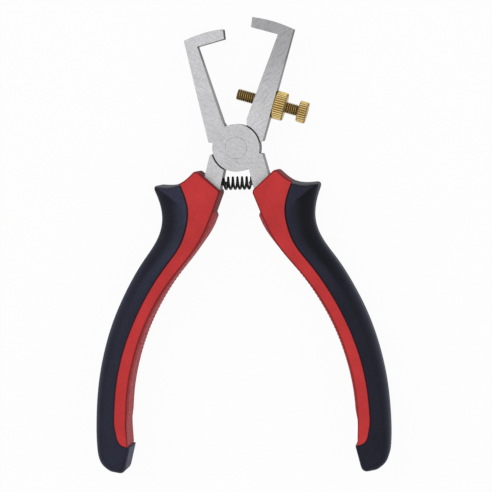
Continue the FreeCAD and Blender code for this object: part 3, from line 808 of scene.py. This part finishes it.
class Finish:
    """One material and the nodes of its finish."""

    def __init__(self, name):
        self.material = bpy.data.materials.new(name)
        self.material.use_nodes = True
        self.tree = self.material.node_tree
        self.tree.nodes.clear()

    def add(self, kind, settings, values):
        """Adds a node: its settings first, then the values or links of its sockets."""
        node = self.tree.nodes.new(kind)
        for setting, value in settings.items():
            setattr(node, setting, value)
        for socket, value in values.items():
            if isinstance(value, Reading):
                self.tree.links.new(value.socket, node.inputs[socket])
            else:
                node.inputs[socket].default_value = value
        return node

    def read(self, kind, settings, values, output=0):
        """Reading of one output of a new node."""
        return Reading(self, self.add(kind, settings, values).outputs[output])

    def maths(self, operation, first, second):
        return self.read("ShaderNodeMath", {"operation": operation}, {0: first, 1: second})

    def place(self):
        """Place on the piece in millimetres."""
        point = self.read("ShaderNodeTexCoord", {}, {}, "Object")
        return self.read("ShaderNodeVectorMath", {"operation": "SCALE"}, {"Vector": point, "Scale": 1000.0})

    def normal(self):
        """Direction that the surface faces, on the piece."""
        return self.read("ShaderNodeTexCoord", {}, {}, "Normal")

    def part(self, vector, axis):
        """One axis of a vector: 0 across, 1 along, 2 up."""
        return self.read("ShaderNodeSeparateXYZ", {}, {0: vector}, axis)

    def turned(self, vector, degrees, stretch):
        """Place turned about the vertical and then stretched, for marks that run one way."""
        rotation = (0.0, 0.0, math.radians(degrees))
        values = {"Vector": vector, "Rotation": rotation}
        turned = self.read("ShaderNodeMapping", {"vector_type": "POINT"}, values)
        return self.read("ShaderNodeVectorMath", {"operation": "MULTIPLY"}, {0: turned, 1: stretch})

    def noise(self, vector, scale, detail, roughness):
        """Mottling from 0 to 1, with a scale in marks to the millimetre."""
        values = {"Vector": vector, "Scale": scale, "Detail": detail, "Roughness": roughness}
        return self.read("ShaderNodeTexNoise", {}, values)

    def cells(self, vector, scale):
        """Fine moulded pits: the distance from the middle of each."""
        values = {"Vector": vector, "Scale": scale}
        return self.read("ShaderNodeTexVoronoi", {"feature": "F1"}, values, "Distance")

    def soft_step(self, value, low, high):
        """From 0 at low to 1 at high, with soft ends."""
        values = {"Value": value, "From Min": low, "From Max": high}
        return self.read("ShaderNodeMapRange", {"interpolation_type": "SMOOTHSTEP"}, values)

    def blend(self, factor, first, second):
        """Colour between two colours."""
        node = self.add("ShaderNodeMix", {"data_type": "RGBA"}, {0: factor, 6: first, 7: second})
        return Reading(self, node.outputs[2])

    def shade(self, tint, amount):
        """Colour made lighter or darker by a factor."""
        if not isinstance(tint, Reading):
            tint = tint[:3]
        return self.read("ShaderNodeVectorMath", {"operation": "SCALE"}, {"Vector": tint, "Scale": amount})

    def bump(self, height, distance):
        """Fine relief of a height from 0 to 1, with a depth in millimetres."""
        values = {"Height": height, "Distance": distance * MM, "Strength": 1.0}
        return self.read("ShaderNodeBump", {}, values)

    def surface(self, **values):
        """Closes the finish with one shader, whose sockets are named in the call."""
        named = {name.replace("_", " "): value for name, value in values.items()}
        shader = self.add("ShaderNodeBsdfPrincipled", {}, named)
        self.finish_with(Reading(self, shader.outputs[0]))
        return self.material

    def finish_with(self, shader):
        self.add("ShaderNodeOutputMaterial", {}, {0: shader})


def colour(red, green, blue):
    return (red, green, blue, 1.0)


def ground_steel(name, light, tip_light, lean, gap_shadow):
    """Ground and blasted tool steel: bright flats with fine slanting scratches and dark side walls, with
    painted shade on the walls in the joint, beside the spring and at the tips, and a painted shadow ring in
    the gap round the joint's disc.
    """
    steel = Finish(name)
    place = steel.place()
    facing = abs(steel.part(steel.normal(), 2))
    flat = steel.soft_step(facing, 0.55, 0.95)
    grain = steel.noise(place, 1.25, 5.0, 0.75)
    cloud = steel.noise(place, 0.14, 2.0, 0.5)
    streak = steel.noise(steel.turned(place, lean, (0.22, 1.9, 1.0)), 1.0, 4.0, 0.7)
    scratch = steel.noise(steel.turned(place, lean - 22.0, (0.12, 2.6, 1.0)), 1.1, 2.0, 0.5)
    scratch = steel.soft_step(scratch, 0.6, 0.72)
    across = steel.part(place, 0)
    along = steel.part(place, 1)
    tip = steel.soft_step(along, 8.0, 36.0)
    mark = (grain - 0.5) * 0.75 + (streak - 0.5) * 0.7 + (cloud - 0.5) * 0.2 - scratch * 0.12 + 1.0
    from_pivot = across * across + along * along
    # Painted shadow: on the rear lever, a near-black ring on the flats in the gap round the joint's disc.
    gap_shadow_ring = (1.0 - steel.soft_step(from_pivot, 70.5, 74.0)) * gap_shadow
    mark = mark * (1.0 - gap_shadow_ring * 0.95)
    flats = steel.shade(colour(1.0, 1.0, 1.02), mark * (tip * (tip_light - light) + light))
    # Painted shade: the walls are made darker still in the joint's lap, beside the spring and at the tips.
    in_joint = 1.0 - steel.soft_step(from_pivot, 75.0, 100.0)
    by_spring = (1.0 - steel.soft_step(abs(across), 6.5, 7.5)) * (1.0 - steel.soft_step(along, -6.0, -4.0))
    at_tip = steel.soft_step(along, 26.0, 31.0)
    steel_wall_shade = steel.maths("MAXIMUM", steel.maths("MAXIMUM", in_joint, by_spring), at_tip)
    wall_mark = (cloud - 0.5) * 0.6 + (grain - 0.5) * 0.6 + 1.0 - steel_wall_shade * 0.9
    walls = steel.shade(colour(0.17, 0.17, 0.175), wall_mark)
    height = grain * 0.5 + streak * 0.5 - scratch * 0.5
    return steel.surface(
        Base_Color=steel.blend(flat, walls, flats),
        Metallic=flat * 0.2 + 0.7,
        Roughness=(streak - 0.5) * 0.16 + (grain - 0.5) * 0.1 + 0.45,
        Normal=steel.bump(height, 0.025),
    )


def rivet_steel():
    """Rivet heads ground flush with the joint, with faint turning rings."""
    steel = Finish("rivet ground flush")
    place = steel.place()
    across = steel.read("ShaderNodeVectorMath", {"operation": "MULTIPLY"}, {0: place, 1: (1.0, 1.0, 0.0)})
    radius = steel.read("ShaderNodeVectorMath", {"operation": "LENGTH"}, {0: across}, "Value")
    rings = steel.read("ShaderNodeMath", {"operation": "SINE"}, {0: radius * 21.0})
    grain = steel.noise(place, 1.25, 5.0, 0.75)
    streak = steel.noise(steel.turned(place, 38.0, (0.22, 1.9, 1.0)), 1.0, 4.0, 0.7)
    rim = steel.soft_step(radius, 3.5, 3.68)
    shade = (grain - 0.5) * 0.75 + (streak - 0.5) * 0.7 + rings * 0.02 - rim * 0.3 + 1.0
    return steel.surface(
        Base_Color=steel.shade(colour(0.47, 0.47, 0.48), shade),
        Metallic=0.9,
        Roughness=(grain - 0.5) * 0.1 + 0.45,
        Normal=steel.bump(grain * 0.5 + rings * 0.15, 0.02),
    )


def black_oxide(name, shade):
    """Blackened spring wire, rubbed a little lighter in scattered patches."""
    wire = Finish(name)
    place = wire.place()
    grain = wire.noise(place, 5.0, 4.0, 0.6)
    drawn = wire.noise(place, 1.1, 2.0, 0.5)
    wear_and_painted_shade = wire.soft_step(drawn, 0.6, 0.75)
    return wire.surface(
        Base_Color=wire.blend(wear_and_painted_shade * 0.5, colour(shade, shade, shade), colour(0.09, 0.09, 0.1)),
        Metallic=0.6,
        Roughness=(grain - 0.5) * 0.2 + 0.38,
        Normal=wire.bump(grain, 0.01),
    )


def brass(name, thread_crest, knurl_crest, light):
    """Turned brass: bright on crests and end faces, with painted shade in dark brown where the thread or
    the knurling is deep.
    """
    metal = Finish(name)
    place = metal.place()
    seat = tuple(SCREW_SEAT)
    away = metal.read("ShaderNodeVectorMath", {"operation": "SUBTRACT"}, {0: place, 1: seat})
    axis = tuple(SCREW_OUTWARD)
    off_axis = metal.read("ShaderNodeVectorMath", {"operation": "CROSS_PRODUCT"}, {0: away, 1: axis})
    radius = metal.read("ShaderNodeVectorMath", {"operation": "LENGTH"}, {0: off_axis}, "Value")
    values = {0: metal.normal(), 1: axis}
    facing = metal.read("ShaderNodeVectorMath", {"operation": "DOT_PRODUCT"}, values, "Value")
    grain = metal.noise(place, 3.0, 3.0, 0.6)
    stain = metal.noise(place, 0.6, 3.0, 0.6)
    on_thread = metal.soft_step(radius, thread_crest - 0.28, thread_crest)
    in_knurl = metal.soft_step(radius, thread_crest + 0.3, thread_crest + 0.6)
    in_knurl = in_knurl * (1.0 - metal.soft_step(radius, knurl_crest - 0.25, knurl_crest))
    end_face = metal.soft_step(abs(facing), 0.8, 0.95)
    beyond_thread = metal.soft_step(radius, thread_crest + 0.1, thread_crest + 0.3)
    on_thread = on_thread * (beyond_thread * 0.6 + 0.4)
    # Painted shade: the crest mask is low in thread roots and knurl valleys, which take the dark brown; the
    # thread's crests stay darker than the knurling's.
    crest = metal.maths("MAXIMUM", on_thread - in_knurl * 0.9, end_face * 0.4)
    tone = (grain - 0.5) * 0.4 + (stain - 0.5) * 0.5 + 1.0
    bright = metal.shade(colour(0.76 * light, 0.56 * light, 0.225 * light), tone)
    return metal.surface(
        Base_Color=metal.blend(crest, colour(0.13, 0.08, 0.03), bright),
        Metallic=0.95,
        Roughness=0.5 - crest * 0.22 + (grain - 0.5) * 0.1,
        Normal=metal.bump(grain, 0.012),
    )


def red_core():
    """Moulded red plastic, with a satin skin and a less glossy finger side; the side walls are painted
    darker as shade, deep maroon above the finger pad and a greyer red on the pad, and the roundings beside
    the faces are painted darker as shade.
    """
    plastic = Finish("moulded red plastic")
    place = plastic.place()
    facing = abs(plastic.part(plastic.normal(), 2))
    off_middle = abs(plastic.part(place, 2) - MID_PLANE)
    # Painted shade: the side walls take darker colours than the face.
    side = 1.0 - plastic.soft_step(facing, 0.1, 0.5) * plastic.soft_step(off_middle, 6.1, 6.6)
    # Painted shade: the roundings beside the faces are darkened.
    edge = plastic.soft_step(off_middle, 6.2, 6.7) * (1.0 - plastic.soft_step(facing, 0.8, 0.98))
    on_pad = 1.0 - plastic.soft_step(plastic.part(place, 1), -21.9, -21.2)
    cloud = plastic.noise(place, 0.12, 3.0, 0.5)
    grain = plastic.noise(place, 1.3, 5.0, 0.65)
    cells = plastic.cells(place, 1.6)
    tone = (cloud - 0.5) * 0.45 + (grain - 0.5) * 0.4 + 1.0
    face = plastic.shade(colour(0.54, 0.040, 0.042), tone)
    # Painted shade: the pad's wall is a darker, greyer red with moulded pits, and above the pad the wall is
    # deep maroon.
    wear_and_painted_shade = plastic.shade(colour(0.39, 0.064, 0.072), (grain - 0.5) * 0.8 + (cells - 0.35) * 0.5 + 1.0)
    red_wall_shade = plastic.blend(on_pad, colour(0.19, 0.018, 0.024), wear_and_painted_shade)
    return plastic.surface(
        Base_Color=plastic.shade(plastic.blend(side, face, red_wall_shade), 1.0 - edge * 0.55),
        Roughness=(grain - 0.5) * 0.14 + side * 0.12 + 0.5,
        Specular_IOR_Level=0.07,
        Normal=plastic.bump(grain * 0.6 + cells * 0.5, 0.03),
    )


def dark_cover(name, light, dish):
    """Soft dark blue-black rubber with a fine moulded grain, painted darker as shade in the dish under the
    horn, with painted highlights on the outer rounding, on the upper part and on the top of the horn.
    """
    rubber = Finish(name)
    place = rubber.place()
    facing = abs(rubber.part(rubber.normal(), 2))
    thumb = rubber.soft_step(rubber.part(place, 1), -54.0, -36.0)
    level_part = rubber.soft_step(facing, 0.9, 0.999)
    # Painted highlight: the steep faces of the outer rounding are made lighter.
    painted_edge_highlight = 1.0 - rubber.soft_step(facing, 0.25, 0.9)
    # Painted highlight: the top of the horn, where it faces up the grip, is blended to a light grey.
    horn_top_highlight = rubber.soft_step(rubber.part(rubber.normal(), 1), 0.3, 0.8)
    horn_top_highlight = horn_top_highlight * rubber.soft_step(rubber.part(place, 1), -24.0, -21.0)
    horn_top_highlight = horn_top_highlight * rubber.soft_step(abs(rubber.part(place, 2) - MID_PLANE), 5.8, 6.5)
    cloud = rubber.noise(place, 0.1, 3.0, 0.5)
    grain = rubber.noise(place, 1.3, 5.0, 0.7)
    cells = rubber.cells(place, 1.6)
    tone = (cloud - 0.5) * 0.8 + (grain - 0.5) * 1.2 + 1.0
    # Painted shade: faces off the level parts are darkened, most in the dish under the horn.
    painted_dish_shade = (1.0 - level_part) * (thumb * dish + 0.2)
    # Painted light: the outer rounding and the upper part of the cover are lightened, and the dish shade is
    # taken off.
    lighter = painted_edge_highlight * 1.5 - painted_dish_shade + 1.0 + thumb * 0.55
    # light scales the whole skin, so each grip gets a lit or a shaded copy of the same rubber.
    skin = rubber.shade(colour(0.0145 * light, 0.0155 * light, 0.0278 * light), tone * lighter)
    return rubber.surface(
        Base_Color=rubber.blend(horn_top_highlight * 0.85, skin, colour(0.13, 0.135, 0.155)),
        Roughness=(cloud - 0.5) * 0.14 + (grain - 0.5) * 0.14 + 0.6,
        Specular_IOR_Level=0.12,
        Normal=rubber.bump(grain * 0.6 + cells * 0.6, 0.05),
    )


def pale_floor():
    """White table that stays white in the picture and in reflections, and still takes the soft shadow."""
    floor = Finish("pale table")
    ray = floor.add("ShaderNodeLightPath", {}, {})
    seen = Reading(floor, ray.outputs["Is Camera Ray"]) + Reading(floor, ray.outputs["Is Glossy Ray"])
    seen = seen + Reading(floor, ray.outputs["Is Transmission Ray"])
    grain = floor.noise(floor.place(), 0.05, 2.0, 0.5)
    tone = floor.shade(colour(0.82, 0.82, 0.82), (grain - 0.5) * 0.02 + 1.0)
    matt = floor.add("ShaderNodeBsdfDiffuse", {}, {"Color": tone, "Roughness": 0.4})
    glow = floor.add("ShaderNodeEmission", {}, {"Color": colour(1.0, 1.0, 1.0), "Strength": 1.0})
    values = {0: seen * 0.95, 1: Reading(floor, matt.outputs[0]), 2: Reading(floor, glow.outputs[0])}
    floor.finish_with(floor.read("ShaderNodeMixShader", {}, values))
    return floor.material


# Dressing

# Only the rear lever takes the painted shadow ring round the joint's disc.
front_steel = ground_steel(
    "ground steel of the front lever", light=0.48, tip_light=0.47, lean=38.0, gap_shadow=0.0)
rear_steel = ground_steel(
    "ground steel of the rear lever", light=0.50, tip_light=0.31, lean=-35.0, gap_shadow=1.0)
red = red_core()
# Both covers are one rubber: the left is painted lighter and the right darker as light and shade, with
# different strengths of painted dish shade.
dark = {
    "left": dark_cover("soft dark rubber of the left grip", light=1.3, dish=0.87),
    "right": dark_cover("soft dark rubber of the right grip", light=0.8, dish=1.05),
}

lever("rear_lever", rear_steel, "rear_half")
lever("front_lever", front_steel, "front_half")
for node, finish in (
    ("pivot_rivet", rivet_steel()),
    ("left_spring_peg", black_oxide("left peg steel", shade=0.05)),
    ("right_spring_peg", black_oxide("right peg steel", shade=0.05)),
):
    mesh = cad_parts[node].data
    mesh.materials.clear()
    mesh.materials.append(finish)
opening_spring(black_oxide("blackened spring wire", shade=0.012))
adjusting_screw(brass("brass of the adjusting screw", thread_crest=1.96, knurl_crest=HEAD_RADIUS - 0.03,
                      light=1.2))
lock_nut(brass("brass of the lock nut", thread_crest=BORE_RADIUS, knurl_crest=NUT_RADIUS - 0.03, light=1.3))
for name, side, body in (("left", -1, "rear_half"), ("right", 1, "front_half")):
    grip_core(name + "_grip_core", side, red, body)
    grip_cover(name + "_grip_cover", side, dark[name], body)


# Table, light and camera

def stage():
    """Table under the tool."""
    mesh = bpy.data.meshes.new("table")
    reach = 6.0
    level = (MID_PLANE - COVER_HALF) * MM
    corners = [(x * reach, y * reach, level) for x, y in ((-1, -1), (1, -1), (1, 1), (-1, 1))]
    mesh.from_pydata(corners, [], [(0, 1, 2, 3)])
    mesh.materials.append(pale_floor())
    table = bpy.data.objects.new("table", mesh)
    bpy.context.scene.collection.objects.link(table)


def soft_lamp(name, place, watts, width):
    """Round soft lamp that points at the middle of the tool."""
    lamp = bpy.data.lights.new(name, "AREA")
    lamp.shape = "DISK"
    lamp.size = width
    lamp.energy = watts
    made = bpy.data.objects.new(name, lamp)
    made.location = place
    made.rotation_mode = "QUATERNION"
    made.rotation_quaternion = (Vector((0.0, -0.03, 0.0)) - Vector(place)).to_track_quat("-Z", "Y")
    bpy.context.scene.collection.objects.link(made)


def studio():
    """Two soft lamps and a pale surround that the camera and reflections see as white."""
    soft_lamp("lamp above left", (-0.55, 0.45, 0.95), watts=2.6, width=0.8)
    soft_lamp("lamp above right", (0.7, -0.1, 0.8), watts=1.1, width=0.7)
    world = bpy.data.worlds.new("pale studio")
    bpy.context.scene.world = world
    world.use_nodes = True
    tree = world.node_tree
    tree.nodes.clear()
    ray = tree.nodes.new("ShaderNodeLightPath")
    seen = tree.nodes.new("ShaderNodeMath")
    seen.operation = "MAXIMUM"
    tree.links.new(ray.outputs["Is Camera Ray"], seen.inputs[0])
    tree.links.new(ray.outputs["Is Glossy Ray"], seen.inputs[1])
    level = tree.nodes.new("ShaderNodeMapRange")
    level.inputs["To Min"].default_value = 0.7
    level.inputs["To Max"].default_value = 1.0
    tree.links.new(seen.outputs[0], level.inputs["Value"])
    light = tree.nodes.new("ShaderNodeBackground")
    light.inputs["Color"].default_value = colour(1.0, 1.0, 1.0)
    tree.links.new(level.outputs[0], light.inputs["Strength"])
    output = tree.nodes.new("ShaderNodeOutputWorld")
    tree.links.new(light.outputs[0], output.inputs[0])
    bpy.context.scene.view_settings.view_transform = "Standard"


def camera():
    """The photo's view: nearly from above and a little from the right."""
    eye = Vector((0.09, 0.010, 0.804))
    aim = Vector((0.00222, -0.03328, 0.004))
    lean = math.radians(-1.35)
    forward = (aim - eye).normalized()
    right = forward.cross(Vector((-math.sin(lean), math.cos(lean), 0.0))).normalized()
    upward = right.cross(forward)
    lens = bpy.data.cameras.new("camera")
    lens.sensor_width = 36.0
    lens.lens = 174.3
    lens.clip_start = 0.01
    lens.clip_end = 20.0
    made = bpy.data.objects.new("camera", lens)
    turn = Matrix((right, upward, -forward)).transposed().to_4x4()
    made.matrix_world = Matrix.Translation(eye) @ turn
    bpy.context.scene.collection.objects.link(made)
    bpy.context.scene.camera = made


stage()
studio()
camera()
